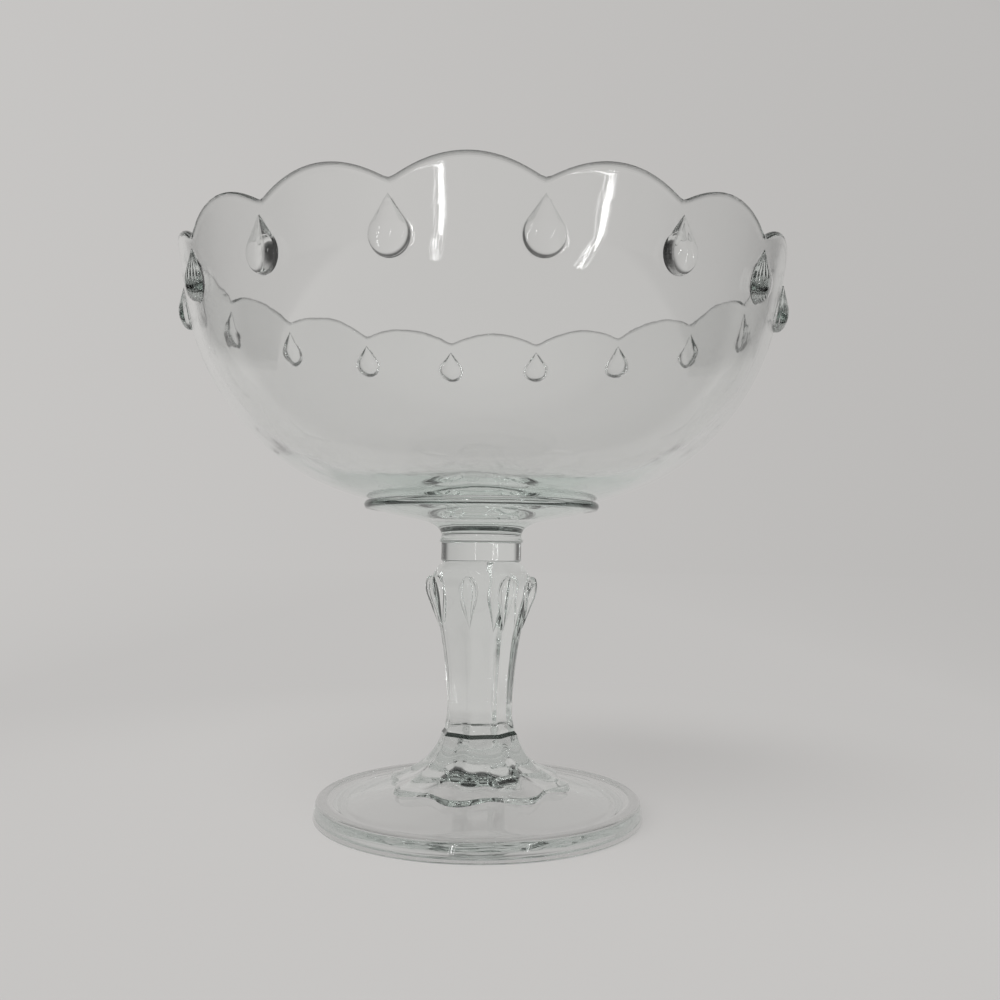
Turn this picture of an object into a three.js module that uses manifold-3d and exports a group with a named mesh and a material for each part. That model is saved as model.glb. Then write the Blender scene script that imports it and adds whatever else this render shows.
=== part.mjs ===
import * as THREE from 'three';
import { ParametricGeometry } from 'three/addons/geometries/ParametricGeometry.js';
import { mergeVertices } from 'three/addons/utils/BufferGeometryUtils.js';
import Module from 'manifold-3d';

const wasm = await Module();
wasm.setup();

// Millimetres and degrees, +Z up, the table at z = 0 and the axis of the compote on Z.

// Heights between the table and the three fused joints, and from the last one to the notches of the rim
const footHeight = 32.5;
const stemHeight = 73.1;
const saucerHeight = 12.9;
const bowlHeight = 89.8;

// Bowl, outside: flat land, dished underside, one wall arc, a straight flare
const landRadius = 24;
const dishRadius = 198;
const dishEdgeRadius = 50;
const wallArcRadius = 87.5;
const flareAngle = 9.6;

// Bowl, inside: shallow floor, one wall arc that touches both the floor and the rim wall
const floorThickness = 6.1;
const floorRadius = 270;
const insideArcRadius = 79.8;
const rimWall = 3.4;

// Scalloped rim, pointed notches between arched lobes
const lobeCount = 16;
const lobeRise = 6.5;

// Drops on the bowl wall, tip up, one under each notch
const wallDropRound = 6.3;
const wallDropHalfWidth = 6.3;
const wallDropLength = 17.4;
const wallDropDepth = 3.5;
const wallDropStand = 0.4;
const wallDropBelowNotch = 5.2;

// Saucer under the bowl, with its flared neck
const saucerRadius = 46.5;
const saucerEdgeThickness = 3.4;
const saucerEdgeRise = 1.6;
const seatGap = 0.3;
const undersideRadius = 23.5;
const undersideDrop = 4.3;
const undersideHold = 4;
const neckRadius = 15.8;
const neckRise = 2.6;
const neckHold = 3;
const neckBeadRadius = 16.6;
const neckBeadHeight = 1.6;
const neckBeadWrap = 150;

// Stem: round collar, knop, eight-sided shaft
const panelCount = 8;
const collarRadius = 15.9;
const collarHeight = 7.6;
const collarGroove = 0.7;
const shoulderRadius = 16.2;
const shoulderHold = 4;
const shoulderSlope = 45;
const shoulderRoundness = 0.9;
const knopRadius = 20.2;
const knopBelowNeck = 16.6;
const knopHold = 4;
const knopRoundness = 0.2;
const shaftTopRadius = 15.8;
const shaftTopRise = 35.5;
const shaftTopTaper = 10;
const shaftTopHold = 6;
const waistRadius = 13.1;
const waistRise = 6.5;
const waistHold = 11;
const stemEndRadius = 14;
const stemEndHold = 2.5;

// Drops on the knop ridges, tip down
const knopDropRound = 6;
const knopDropHalfWidth = 3.6;
const knopDropLength = 20;
const knopDropDepth = 2.8;
const knopDropAboveKnop = 3.4;
const knopDropLean = 11;
const knopDropSink = 0.5;

// Foot: petal skirt, dome, rim with a drafted outer face, hollowed underside
const skirtTopRadius = 15;
const skirtTopTaper = 8;
const skirtHold = 9.6;
const skirtToeHold = 10.8;
const skirtToeSlope = 14;
const petalPointRadius = 35.4;
const petalHollow = 4.4;
const petalEdge = 2.3;
const petalEdgeSlant = 0.6;
const domeTopRadius = 30;
const domeTopZ = 12.6;
const domeEdgeRadius = 56.2;
const domeEdgeZ = 6.4;
const footRadius = 63.6;
const footDraft = 8;
const footRimWidth = 5.2;
const footRimZ = 7.5;
const footRimRound = 1.7;
const footRimInnerWrap = 40;
const footHeelRound = 1;
const restInnerRadius = 56.6;
const hollowLipWidth = 3;
const hollowLipZ = 1.6;
const hollowTopRadius = 31;
const hollowTopZ = 7.4;
const hollowCrownRise = 7;
const hollowCrownHold = 15;
const hollowEdgeHold = 9;

// Facets
const columnsPerLobe = 6;
const columnsPerPanel = 4;
const columnsPerPetal = 8;
const saucerColumns = 48;
const wallDropSides = 12;
const knopDropSides = 10;
const dropSteps = 4;
const dishSteps = 2;
const wallSteps = 9;
const rimSteps = 4;
const sweepSteps = 5;
const skirtSteps = 7;
const crownSteps = 3;

// Levels of the joints and the notches above the table
const footJointZ = footHeight;
const neckJointZ = footJointZ + stemHeight;
const bowlJointZ = neckJointZ + saucerHeight;
const notchZ = bowlJointZ + bowlHeight;

const radians = THREE.MathUtils.degToRad;
const degrees = THREE.MathUtils.radToDeg;
const fullTurn = Math.PI * 2;
const weld = 1e-4;

// A direction in the radius-height plane, turned from straight down towards the outside.
function heading(angle) {
  return new THREE.Vector2(Math.sin(radians(angle)), -Math.cos(radians(angle)));
}

// Points of an arc round a centre in the radius-height plane.
function arc(centreR, centreZ, radius, from, to, steps) {
  const points = [];
  for (let i = 0; i <= steps; i++) {
    const spoke = heading(from + ((to - from) * i) / steps);
    points.push(new THREE.Vector2(centreR + radius * spoke.x, centreZ + radius * spoke.y));
  }
  return points;
}

// Points of a smooth sweep that leaves start along one heading and reaches end along another,
// each held for a length.
function sweep(start, leave, leaveHold, end, reach, reachHold, steps) {
  const first = new THREE.Vector2(...start);
  const last = new THREE.Vector2(...end);
  const pull = first.clone().addScaledVector(heading(leave), leaveHold);
  const draw = last.clone().addScaledVector(heading(reach), -reachHold);
  return new THREE.CubicBezierCurve(first, pull, draw, last).getPoints(steps);
}

// A skin round the axis: ring(row, angle) gives the radius and height of each row at each angle.
function skin(rows, columns, ring) {
  const place = (u, v, target) => {
    const angle = (u % 1) * fullTurn;
    const point = ring(Math.round(v * (rows - 1)), angle);
    target.set(point.x * Math.cos(angle), point.x * Math.sin(angle), point.y);
  };
  return new ParametricGeometry(place, columns, rows - 1);
}

// A closed solid from a geometry, without the slivers that a pole leaves.
function solid(geometry) {
  const bare = geometry.clone();
  bare.deleteAttribute('normal');
  bare.deleteAttribute('uv');
  const welded = mergeVertices(bare, weld);
  const corners = welded.index.array;
  const kept = [];
  for (let i = 0; i < corners.length; i += 3) {
    const [a, b, c] = corners.slice(i, i + 3);
    if (a !== b && b !== c && c !== a) kept.push(a, b, c);
  }
  const vertProperties = new Float32Array(welded.attributes.position.array);
  const triVerts = new Uint32Array(kept);
  return new wasm.Manifold(new wasm.Mesh({ numProp: 3, vertProperties, triVerts }));
}

function glassPart(name, body) {
  const data = body.getMesh();
  const geometry = new THREE.BufferGeometry();
  geometry.setAttribute('position', new THREE.BufferAttribute(data.vertProperties, 3));
  geometry.setIndex(new THREE.BufferAttribute(data.triVerts, 1));
  geometry.computeVertexNormals();
  const glass = new THREE.MeshStandardMaterial({ color: 0xdfe8e2, roughness: 0.04, metalness: 0 });
  const mesh = new THREE.Mesh(geometry, glass);
  mesh.name = name;
  return mesh;
}

// A drop at the origin: a ball drawn out to a point along +Z, then brought to its width along X
// and its depth along Y.
function drop(round, length, halfWidth, depth, sides) {
  const tip = length - round;
  const leaveBall = 180 - degrees(Math.acos(round / tip));
  const outline = arc(0, 0, round, 0, leaveBall, dropSteps);
  outline.push(new THREE.Vector2(0, tip));
  const body = new THREE.LatheGeometry(outline, sides);
  body.rotateX(Math.PI / 2);
  body.scale(halfWidth / round, depth / round, 1);
  return body;
}

// Radius of an eight-sided ring: flat panels between ridges, rounded towards a circle,
// scalloped at mid panel.
function panelRadius(ridge, angle, roundness, hollow) {
  const pitch = fullTurn / panelCount;
  const local = THREE.MathUtils.euclideanModulo(angle + pitch / 2, pitch) - pitch / 2;
  const flat = (ridge * Math.cos(pitch / 2)) / Math.cos(local);
  const scallop = (hollow * (1 + Math.cos(panelCount * local))) / 2;
  return THREE.MathUtils.lerp(flat, ridge, roundness) - scallop;
}

// Bowl
const landAngle = degrees(Math.asin(landRadius / dishRadius));
const dishEdgeAngle = degrees(Math.asin(dishEdgeRadius / dishRadius));
const dishCentreZ = bowlJointZ + dishRadius * Math.cos(radians(landAngle));
const dish = arc(0, dishCentreZ, dishRadius, landAngle, dishEdgeAngle, dishSteps);
const dishEdge = dish[dishSteps];
const towardsWallCentre = heading(dishEdgeAngle).multiplyScalar(-wallArcRadius);
const wallCentre = dishEdge.clone().add(towardsWallCentre);
const wallEndAngle = 90 - flareAngle;
const wall = arc(wallCentre.x, wallCentre.y, wallArcRadius, dishEdgeAngle, wallEndAngle, wallSteps);
const wallEnd = wall[wallSteps];
const flare = Math.tan(radians(flareAngle));

function flareRadius(z) {
  return wallEnd.x + (z - wallEnd.y) * flare;
}

// The centre of the inside arc lies on a line beside the rim wall, where the arc touches the floor.
const floorCentreZ = bowlJointZ + floorThickness + floorRadius;
const insideReach = floorRadius - insideArcRadius;
const insideOffset = rimWall + insideArcRadius / Math.cos(radians(flareAngle));
const upFlare = heading(180 - flareAngle);
const fromFloorCentre = new THREE.Vector2(flareRadius(floorCentreZ) - insideOffset, 0);
const alongFlare = fromFloorCentre.dot(upFlare);
const besideFlare = fromFloorCentre.cross(upFlare);
const downFlare = -alongFlare - Math.sqrt(insideReach ** 2 - besideFlare ** 2);
const insideCentre = fromFloorCentre.clone().addScaledVector(upFlare, downFlare);
const floorSlope = degrees(Math.asin(insideCentre.x / insideReach));
const insideCentreZ = floorCentreZ + insideCentre.y;
const inside = arc(insideCentre.x, insideCentreZ, insideArcRadius, wallEndAngle, floorSlope, wallSteps);
const floor = arc(0, floorCentreZ, floorRadius, floorSlope, 0, dishSteps);
const rimRound = rimWall / 2;
const rimCentreZ = notchZ - rimRound;
const rim = arc(flareRadius(rimCentreZ) - rimRound, rimCentreZ, rimRound, 90, 270, rimSteps);
const bowlOutline = [
  new THREE.Vector2(0, bowlJointZ),
  ...dish,
  ...wall.slice(1),
  ...rim,
  ...inside,
  ...floor.slice(1),
];

// Each lobe arches up from the notch level and follows the flare outwards; a notch lies on the Y axis.
function bowlRing(row, angle) {
  const point = bowlOutline[row];
  if (!rim.includes(point)) return point;
  const pitch = fullTurn / lobeCount;
  const share = THREE.MathUtils.euclideanModulo(angle, pitch) / pitch;
  const lift = lobeRise * (1 - (2 * share - 1) ** 2);
  return new THREE.Vector2(point.x + lift * flare, point.y + lift);
}

let bowl = solid(skin(bowlOutline.length, lobeCount * columnsPerLobe, bowlRing));
const wallDropZ = notchZ - wallDropBelowNotch - (wallDropLength - wallDropRound);
for (let i = 0; i < lobeCount; i++) {
  const bead = drop(wallDropRound, wallDropLength, wallDropHalfWidth, wallDropDepth, wallDropSides);
  bead.rotateX(radians(-flareAngle));
  bead.translate(0, flareRadius(wallDropZ) + wallDropStand, wallDropZ);
  bead.rotateZ((fullTurn * i) / lobeCount);
  bowl = bowl.add(solid(bead));
}

// Saucer: flat land that carries the bowl, dished seat, rounded edge, flared neck with a bead
// at its lower end
const edgeRound = saucerEdgeThickness / 2;
const edgeCentreR = saucerRadius - edgeRound;
const edgeCentreZ = bowlJointZ + saucerEdgeRise;
const undersideZ = bowlJointZ - undersideDrop;
const undersideRise = edgeCentreZ - edgeRound - undersideZ;
const undersideSlope = degrees(Math.atan2(undersideRise, edgeCentreR - undersideRadius));
const seatRadius = dishRadius + seatGap;
const seatEdgeAngle = degrees(Math.asin(edgeCentreR / seatRadius));
const beadRound = neckBeadHeight / 2;
const neckSweep = sweep(
  [neckRadius, neckJointZ + neckRise],
  180,
  neckHold,
  [undersideRadius, undersideZ],
  90 + undersideSlope,
  undersideHold,
  sweepSteps,
);
const saucerOutline = [
  new THREE.Vector2(0, neckJointZ),
  ...arc(neckBeadRadius - beadRound, neckJointZ + beadRound, beadRound, 0, neckBeadWrap, rimSteps),
  ...neckSweep,
  ...arc(edgeCentreR, edgeCentreZ, edgeRound, undersideSlope, 180 - seatEdgeAngle, rimSteps),
  ...arc(0, dishCentreZ, seatRadius, seatEdgeAngle, landAngle, dishSteps),
  new THREE.Vector2(landRadius - seatGap, bowlJointZ),
  new THREE.Vector2(0, bowlJointZ),
];
const saucer = solid(skin(saucerOutline.length, saucerColumns, (row) => saucerOutline[row]));

// Stem, from its lower end upwards
const waistZ = footJointZ + waistRise;
const shaftTopZ = footJointZ + shaftTopRise;
const knopZ = neckJointZ - knopBelowNeck;
const collarEndZ = neckJointZ - collarHeight;
const stemEnd = sweep(
  [stemEndRadius, footJointZ],
  180,
  stemEndHold,
  [waistRadius, waistZ],
  180,
  stemEndHold,
  sweepSteps,
);
const shaft = sweep(
  [waistRadius, waistZ],
  180,
  waistHold,
  [shaftTopRadius, shaftTopZ],
  180 - shaftTopTaper,
  shaftTopHold,
  sweepSteps,
);
const underKnop = sweep(
  [shaftTopRadius, shaftTopZ],
  180 - shaftTopTaper,
  shaftTopHold,
  [knopRadius, knopZ],
  180,
  knopHold,
  sweepSteps,
);
const shoulder = sweep(
  [knopRadius, knopZ],
  180,
  knopHold,
  [shoulderRadius, collarEndZ - collarGroove],
  180 + shoulderSlope,
  shoulderHold,
  sweepSteps,
);
const stemRows = [{ point: new THREE.Vector2(0, footJointZ), roundness: 0 }];

function addStemRows(points, from, to) {
  points.forEach((point, i) => {
    stemRows.push({ point, roundness: from + ((to - from) * (i + 1)) / points.length });
  });
}

addStemRows(stemEnd, 0, 0);
addStemRows(shaft.slice(1), 0, 0);
addStemRows(underKnop.slice(1), 0, knopRoundness);
addStemRows(shoulder.slice(1), knopRoundness, shoulderRoundness);
const collar = [
  new THREE.Vector2(collarRadius - collarGroove, collarEndZ),
  new THREE.Vector2(collarRadius, collarEndZ + collarGroove),
  new THREE.Vector2(collarRadius, neckJointZ),
  new THREE.Vector2(0, neckJointZ),
];
addStemRows(collar, 1, 1);

function stemRing(row, angle) {
  const { point, roundness } = stemRows[row];
  if (point.x === 0) return point;
  return new THREE.Vector2(panelRadius(point.x, angle, roundness, 0), point.y);
}

let stem = solid(skin(stemRows.length, panelCount * columnsPerPanel, stemRing));
for (let i = 0; i < panelCount; i++) {
  const bead = drop(knopDropRound, knopDropLength, knopDropHalfWidth, knopDropDepth, knopDropSides);
  bead.rotateY(Math.PI);
  bead.rotateX(radians(-knopDropLean));
  bead.translate(0, knopRadius - knopDropSink, knopZ + knopDropAboveKnop - knopDropRound);
  bead.rotateZ((fullTurn * (i + 0.5)) / panelCount);
  stem = stem.add(solid(bead));
}

// Foot, from the middle of its hollow underside outwards, over the rim and up to the stem
function domeHeight(radius) {
  const share = (radius - domeTopRadius) / (domeEdgeRadius - domeTopRadius);
  return THREE.MathUtils.lerp(domeTopZ, domeEdgeZ, share);
}

const outerFace = heading(90 + footDraft);
const heel = new THREE.Vector2(footRadius - footHeelRound, footHeelRound);
const rimRoundZ = footRimZ - footRimRound;
const roundStep = footHeelRound - footRimRound;
const faceRise = rimRoundZ - footHeelRound - roundStep * outerFace.y;
const rimOuterR = heel.x + roundStep * outerFace.x - faceRise * Math.tan(radians(footDraft));
const rimInnerR = rimOuterR - footRimWidth + 2 * footRimRound;
const lipInnerRadius = restInnerRadius - hollowLipWidth;
const hollowSlope = degrees(Math.atan2(hollowTopZ - hollowLipZ, lipInnerRadius - hollowTopRadius));
const hollowCrown = sweep(
  [0, hollowTopZ + hollowCrownRise],
  90,
  hollowCrownHold,
  [hollowTopRadius, hollowTopZ],
  90 - hollowSlope,
  hollowEdgeHold,
  crownSteps,
);
const underside = [
  ...hollowCrown,
  new THREE.Vector2(lipInnerRadius, hollowLipZ),
  new THREE.Vector2(restInnerRadius, 0),
  ...arc(heel.x, heel.y, footHeelRound, 0, 90 + footDraft, rimSteps),
  ...arc(rimOuterR, rimRoundZ, footRimRound, 90 + footDraft, 180, rimSteps),
  ...arc(rimInnerR, rimRoundZ, footRimRound, 180, 180 + footRimInnerWrap, dishSteps),
  new THREE.Vector2(domeEdgeRadius, domeEdgeZ),
];
const petalTopZ = domeHeight(petalPointRadius) + petalEdge;
const skirt = sweep(
  [petalPointRadius, petalTopZ],
  270 - skirtToeSlope,
  skirtToeHold,
  [skirtTopRadius, footJointZ],
  180 + skirtTopTaper,
  skirtHold,
  skirtSteps,
);
const footRows = underside.map((point) => ({ point, petal: 0 }));
footRows.push({ point: new THREE.Vector2(petalPointRadius + petalEdgeSlant, 0), petal: 1, onDome: true });
skirt.forEach((point, i) => footRows.push({ point, petal: 1 - i / skirtSteps, ridged: true }));
footRows.push({ point: new THREE.Vector2(0, footJointZ), petal: 0 });

function footRing(row, angle) {
  const { point, petal, onDome, ridged } = footRows[row];
  if (!onDome && !ridged) return point;
  const radius = panelRadius(point.x, angle, petal, petal * petalHollow);
  return new THREE.Vector2(radius, onDome ? domeHeight(radius) : point.y);
}

const foot = solid(skin(footRows.length, panelCount * columnsPerPetal, footRing));

const compote = new THREE.Group();
compote.name = 'pedestal_compote';
compote.add(glassPart('bowl', bowl));
compote.add(glassPart('saucer', saucer));
compote.add(glassPart('stem', stem));
compote.add(glassPart('foot', foot));

export default compote;
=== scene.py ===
import math
import bpy
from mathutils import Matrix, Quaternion, Vector


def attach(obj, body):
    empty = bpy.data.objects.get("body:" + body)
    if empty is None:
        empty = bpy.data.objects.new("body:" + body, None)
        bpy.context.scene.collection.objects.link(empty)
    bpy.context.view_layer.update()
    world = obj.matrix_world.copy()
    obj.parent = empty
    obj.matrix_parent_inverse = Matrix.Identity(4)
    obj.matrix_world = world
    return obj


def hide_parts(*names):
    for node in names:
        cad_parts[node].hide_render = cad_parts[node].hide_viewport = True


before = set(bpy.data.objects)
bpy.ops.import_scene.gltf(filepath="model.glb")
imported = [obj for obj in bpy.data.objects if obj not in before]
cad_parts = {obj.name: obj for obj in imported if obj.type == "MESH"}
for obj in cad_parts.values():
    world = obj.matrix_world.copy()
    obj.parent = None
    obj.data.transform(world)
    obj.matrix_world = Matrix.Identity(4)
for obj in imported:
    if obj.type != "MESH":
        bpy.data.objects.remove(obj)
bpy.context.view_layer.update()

mm = 0.001


# profile lines, in millimetres, as (radius, height)

def heading(angle):  # degrees, from straight down turning outwards
    turn = math.radians(angle)
    return math.sin(turn), -math.cos(turn)


def evenSteps(low, high, steps):
    return [low + (high - low) * i / steps for i in range(steps + 1)]


def arcPoint(centre, radius, angle):
    out, up = heading(angle)
    return centre[0] + radius * out, centre[1] + radius * up


def arcPoints(centre, radius, start, end, steps):
    return [arcPoint(centre, radius, angle) for angle in evenSteps(start, end, steps)]


def linePoints(start, end, steps):
    return list(zip(evenSteps(start[0], end[0], steps), evenSteps(start[1], end[1], steps)))


def sweepPoints(start, leave, leaveHold, end, reach, reachHold, steps):  # smooth curve between two headings
    pull = arcPoint(start, leaveHold, leave)
    draw = arcPoint(end, -reachHold, reach)
    points = []
    for i in range(steps + 1):
        t = i / steps
        u = 1 - t
        points.append(tuple(
            u ** 3 * a + 3 * u * u * t * b + 3 * u * t * t * c + t ** 3 * d
            for a, b, c, d in zip(start, pull, draw, end)
        ))
    return points


def radiusAt(line, height):  # radius of a rising line at a height
    for (r0, z0), (r1, z1) in zip(line, line[1:]):
        if z0 <= height <= z1 and z1 > z0:
            return r0 + (r1 - r0) * (height - z0) / (z1 - z0)
    return line[0][0] if height < line[0][1] else line[-1][0]


# one sector of a piece, later repeated round the axis

def newSector():
    return {"points": [], "faces": [], "fused": [], "edge": []}


def addPoint(sector, radius, angle, height):
    x, y = radius * math.cos(angle), radius * math.sin(angle)
    sector["points"].append((x * mm, y * mm, height * mm))
    return len(sector["points"]) - 1


def addPole(sector, height):
    return [addPoint(sector, 0, 0, height)]


def addRing(sector, angles, spot):  # spot(angle) gives radius and height, radius 0 is a pole
    radius, height = spot(angles[0])
    if radius == 0:
        return addPole(sector, height)
    ring = []
    for angle in angles:
        radius, height = spot(angle)
        ring.append(addPoint(sector, radius, angle, height))
    return ring


# edge gives each new face its share of painted shade
def joinRings(sector, lower, upper, fused=0.0, edge=0.0):  # a pole is a ring of one point
    steps = max(len(lower), len(upper)) - 1
    for i in range(steps):
        corners = []
        for ring, at in ((lower, i), (lower, i + 1), (upper, i + 1), (upper, i)):
            corner = ring[min(at, len(ring) - 1)]
            if corner not in corners:
                corners.append(corner)
        sector["faces"].append(corners)
        sector["fused"].append(fused)
        sector["edge"].append(edge)


def stackRings(sector, angles, last, spots, fused=0.0, edge=0.0):  # gives back the last ring
    for spot in spots:
        ring = addRing(sector, angles, spot)
        joinRings(sector, last, ring, fused, edge)
        last = ring
    return last


def roundSpot(point):  # the same radius and height at every angle
    return lambda angle: point


def roundSpots(points):
    return [roundSpot(point) for point in points]


def evenAngles(pitch, steps):
    return [pitch * (i / steps - 0.5) for i in range(steps + 1)]


def ridgeAngles(pitch, steps, crowd):  # steps crowd towards the ridge in the middle
    half = [pitch / 2 * (i / (steps / 2)) ** crowd for i in range(steps // 2 + 1)]
    return [-a for a in reversed(half[1:])] + half


def teardrop(sizes):  # outline reach and swell of a drop seen straight on, its tip along +y
    ball, half, depth = sizes["ball"], sizes["halfWidth"], sizes["depth"]
    tip = sizes["length"] - ball
    touch = math.acos(ball / tip)
    slope = math.tan(math.asin(ball / tip))

    def reach(x, y):  # how far the outline lies in the direction x, y, as a factor
        wide = x * ball / half
        far = math.hypot(wide, y)
        turn = math.atan2(abs(wide), y)
        edge = ball if turn >= touch else ball / math.cos(touch - turn)
        return edge / far

    def swell(x, y):
        wide = x * ball / half
        onBall = y <= ball * math.cos(touch)
        girth = math.sqrt(max(ball * ball - y * y, 0)) if onBall else (tip - y) * slope
        return math.sqrt(max(girth * girth - wide * wide, 0)) * depth / ball

    return reach, swell


def addDropPatch(sector, angles, lower, upper, levels, wide, place, rise, sizes):
    # a patch of wall with a drop on it: place(angle, height, rise) sets a point,
    # rise(angle, height, swell) says how far the drop stands off the wall there
    reach, swell = teardrop(sizes)
    middle, way = sizes["middleZ"], sizes["tipWay"]
    low, high = levels[0], levels[-1]
    border = [(angle, low, index) for angle, index in zip(angles, lower)]
    border += [(angles[-1], z, place(angles[-1], z, 0)) for z in levels[1:-1]]
    border += [(angle, high, index) for angle, index in zip(reversed(angles), reversed(upper))]
    border += [(angles[0], z, place(angles[0], z, 0)) for z in reversed(levels[1:-1])]
    spots = []
    for angle, z, index in border:
        x, y = angle * wide, (z - middle) * way
        spots.append((x, y, reach(x, y)))

    def spotPoint(x, y, height):
        return place(x / wide, middle + y * way, height)

    def riseAt(x, y, bulge):
        return rise(x / wide, middle + y * way, bulge)

    rings = []
    for share in sizes["apron"]:  # plain wall between the patch border and the drop
        ring = []
        for x, y, factor in spots:
            at = factor + (1 - factor) * share
            ring.append(spotPoint(x * at, y * at, 0))
        rings.append(ring)
    for gap, share in sizes["foot"]:  # small fillet at the foot of the drop, up to its outline
        ring = []
        for x, y, factor in spots:
            at = factor + min(gap / math.hypot(x, y), (1 - factor) / 2)
            ring.append(spotPoint(x * at, y * at, riseAt(x * factor, y * factor, 0) * share))
        rings.append(ring)
    outer = [index for angle, z, index in border]
    for ring in rings:
        joinRings(sector, outer + outer[:1], ring + ring[:1])
        outer = ring
    # slices across the drop, from the lower end to the upper one
    outline, count, half = rings[-1], len(spots), len(angles) // 2
    last = [outline[half]]
    for i in range(1, count // 2):
        left, right = (half - i) % count, half + i
        x, y, factor = spots[right]
        ring = [outline[left]]
        for j in range(1, sizes["across"]):
            over = -x * factor * math.cos(math.pi * j / sizes["across"])
            ring.append(spotPoint(over, y * factor, riseAt(over, y * factor, swell(over, y * factor))))
        ring.append(outline[right])
        joinRings(sector, last, ring)
        last = ring
    joinRings(sector, last, [outline[(half + count // 2) % count]])


# nodes and objects

def addNode(tree, kind, values=None, **settings):  # values go to sockets, settings to the node itself
    node = tree.nodes.new(kind)
    for name, setting in settings.items():
        setattr(node, name, setting)
    for socket, value in (values or {}).items():
        node.inputs[socket].default_value = value
    return node


def addObject(name, data):
    thing = bpy.data.objects.new(name, data)
    bpy.context.scene.collection.objects.link(thing)
    return thing


# Geometry Nodes: a sector repeated round the axis and welded

meshing = {"weld": 0.003, "crease": 38}  # millimetres, degrees


def turnedPattern():
    tree = bpy.data.node_groups.new("turnedPattern", "GeometryNodeTree")
    links, sockets = tree.links, tree.interface
    sockets.new_socket("Sector", in_out="INPUT", socket_type="NodeSocketGeometry")
    sockets.new_socket("Count", in_out="INPUT", socket_type="NodeSocketInt")
    sockets.new_socket("Start", in_out="INPUT", socket_type="NodeSocketFloat")
    sockets.new_socket("Weld", in_out="INPUT", socket_type="NodeSocketFloat")
    sockets.new_socket("Glass", in_out="INPUT", socket_type="NodeSocketMaterial")
    sockets.new_socket("Piece", in_out="OUTPUT", socket_type="NodeSocketGeometry")
    into = addNode(tree, "NodeGroupInput")
    out = addNode(tree, "NodeGroupOutput")
    spots = addNode(tree, "GeometryNodePoints")
    index = addNode(tree, "GeometryNodeInputIndex")
    share = addNode(tree, "ShaderNodeMath", operation="DIVIDE")
    turn = addNode(tree, "ShaderNodeMath", {1: math.tau}, operation="MULTIPLY_ADD")
    axis = addNode(tree, "ShaderNodeCombineXYZ")
    euler = addNode(tree, "FunctionNodeEulerToRotation")
    copies = addNode(tree, "GeometryNodeInstanceOnPoints")
    real = addNode(tree, "GeometryNodeRealizeInstances")
    weld = addNode(tree, "GeometryNodeMergeByDistance")
    smooth = addNode(tree, "GeometryNodeSetShadeSmooth")
    glass = addNode(tree, "GeometryNodeSetMaterial")
    links.new(into.outputs["Count"], spots.inputs["Count"])
    links.new(index.outputs[0], share.inputs[0])
    links.new(into.outputs["Count"], share.inputs[1])
    links.new(share.outputs[0], turn.inputs[0])
    links.new(into.outputs["Start"], turn.inputs[2])
    links.new(turn.outputs[0], axis.inputs["Z"])
    links.new(axis.outputs[0], euler.inputs[0])
    links.new(spots.outputs[0], copies.inputs["Points"])
    links.new(into.outputs["Sector"], copies.inputs["Instance"])
    links.new(euler.outputs[0], copies.inputs["Rotation"])
    links.new(copies.outputs[0], real.inputs[0])
    links.new(real.outputs[0], weld.inputs["Geometry"])
    links.new(into.outputs["Weld"], weld.inputs["Distance"])
    links.new(weld.outputs[0], smooth.inputs["Geometry"])
    links.new(smooth.outputs[0], glass.inputs["Geometry"])
    links.new(into.outputs["Glass"], glass.inputs["Material"])
    links.new(glass.outputs[0], out.inputs[0])
    return tree


def turnPiece(name, node, sector, count, start, material, tree):  # start is the turn of the first copy
    mesh = bpy.data.meshes.new(name)
    mesh.from_pydata(sector["points"], [], sector["faces"])
    # face marks: fused joint faces, and each face's share of painted shade
    for mark in ("fused", "edge"):
        mesh.attributes.new(mark, "FLOAT", "FACE").data.foreach_set("value", sector[mark])
    piece = addObject(name, mesh)
    modifier = piece.modifiers.new("turned", "NODES")
    modifier.node_group = tree
    values = {"Count": count, "Start": start, "Weld": meshing["weld"] * mm, "Glass": material}
    for socket in tree.interface.items_tree:
        if socket.in_out == "INPUT" and socket.name in values:
            modifier[socket.identifier] = values[socket.name]
    depsgraph = bpy.context.evaluated_depsgraph_get()
    done = bpy.data.meshes.new_from_object(piece.evaluated_get(depsgraph))
    piece.modifiers.clear()
    piece.data = done
    done.name = name
    done.set_sharp_from_angle(angle=math.radians(meshing["crease"]))
    bpy.data.meshes.remove(mesh)
    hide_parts(node)
    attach(piece, "root")
    print(name, len(done.polygons), "faces")


# glass

glassLook = {
    "tone": (0.992, 0.997, 0.994, 1),
    # near-black base colour of the painted shade on rim, foot rim and ledge faces
    "paintedEdgeShade": (0.012, 0.016, 0.014, 1),
    "ior": 1.5,
    "polish": 0.025,
    "depthColour": (0.55, 0.80, 0.70, 1),
    "depthDensity": 2.2,
    "waveScale": 55,
    "waveDetail": 1,
    "waveHeight": 0.00012,
    "skinScale": 130,
    "skinDetail": 2,
    "skinShare": 0.14,
    "wearHeight": 0.0009,
    "wearRough": 0.22,
    "wearScale": 900,
}


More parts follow.
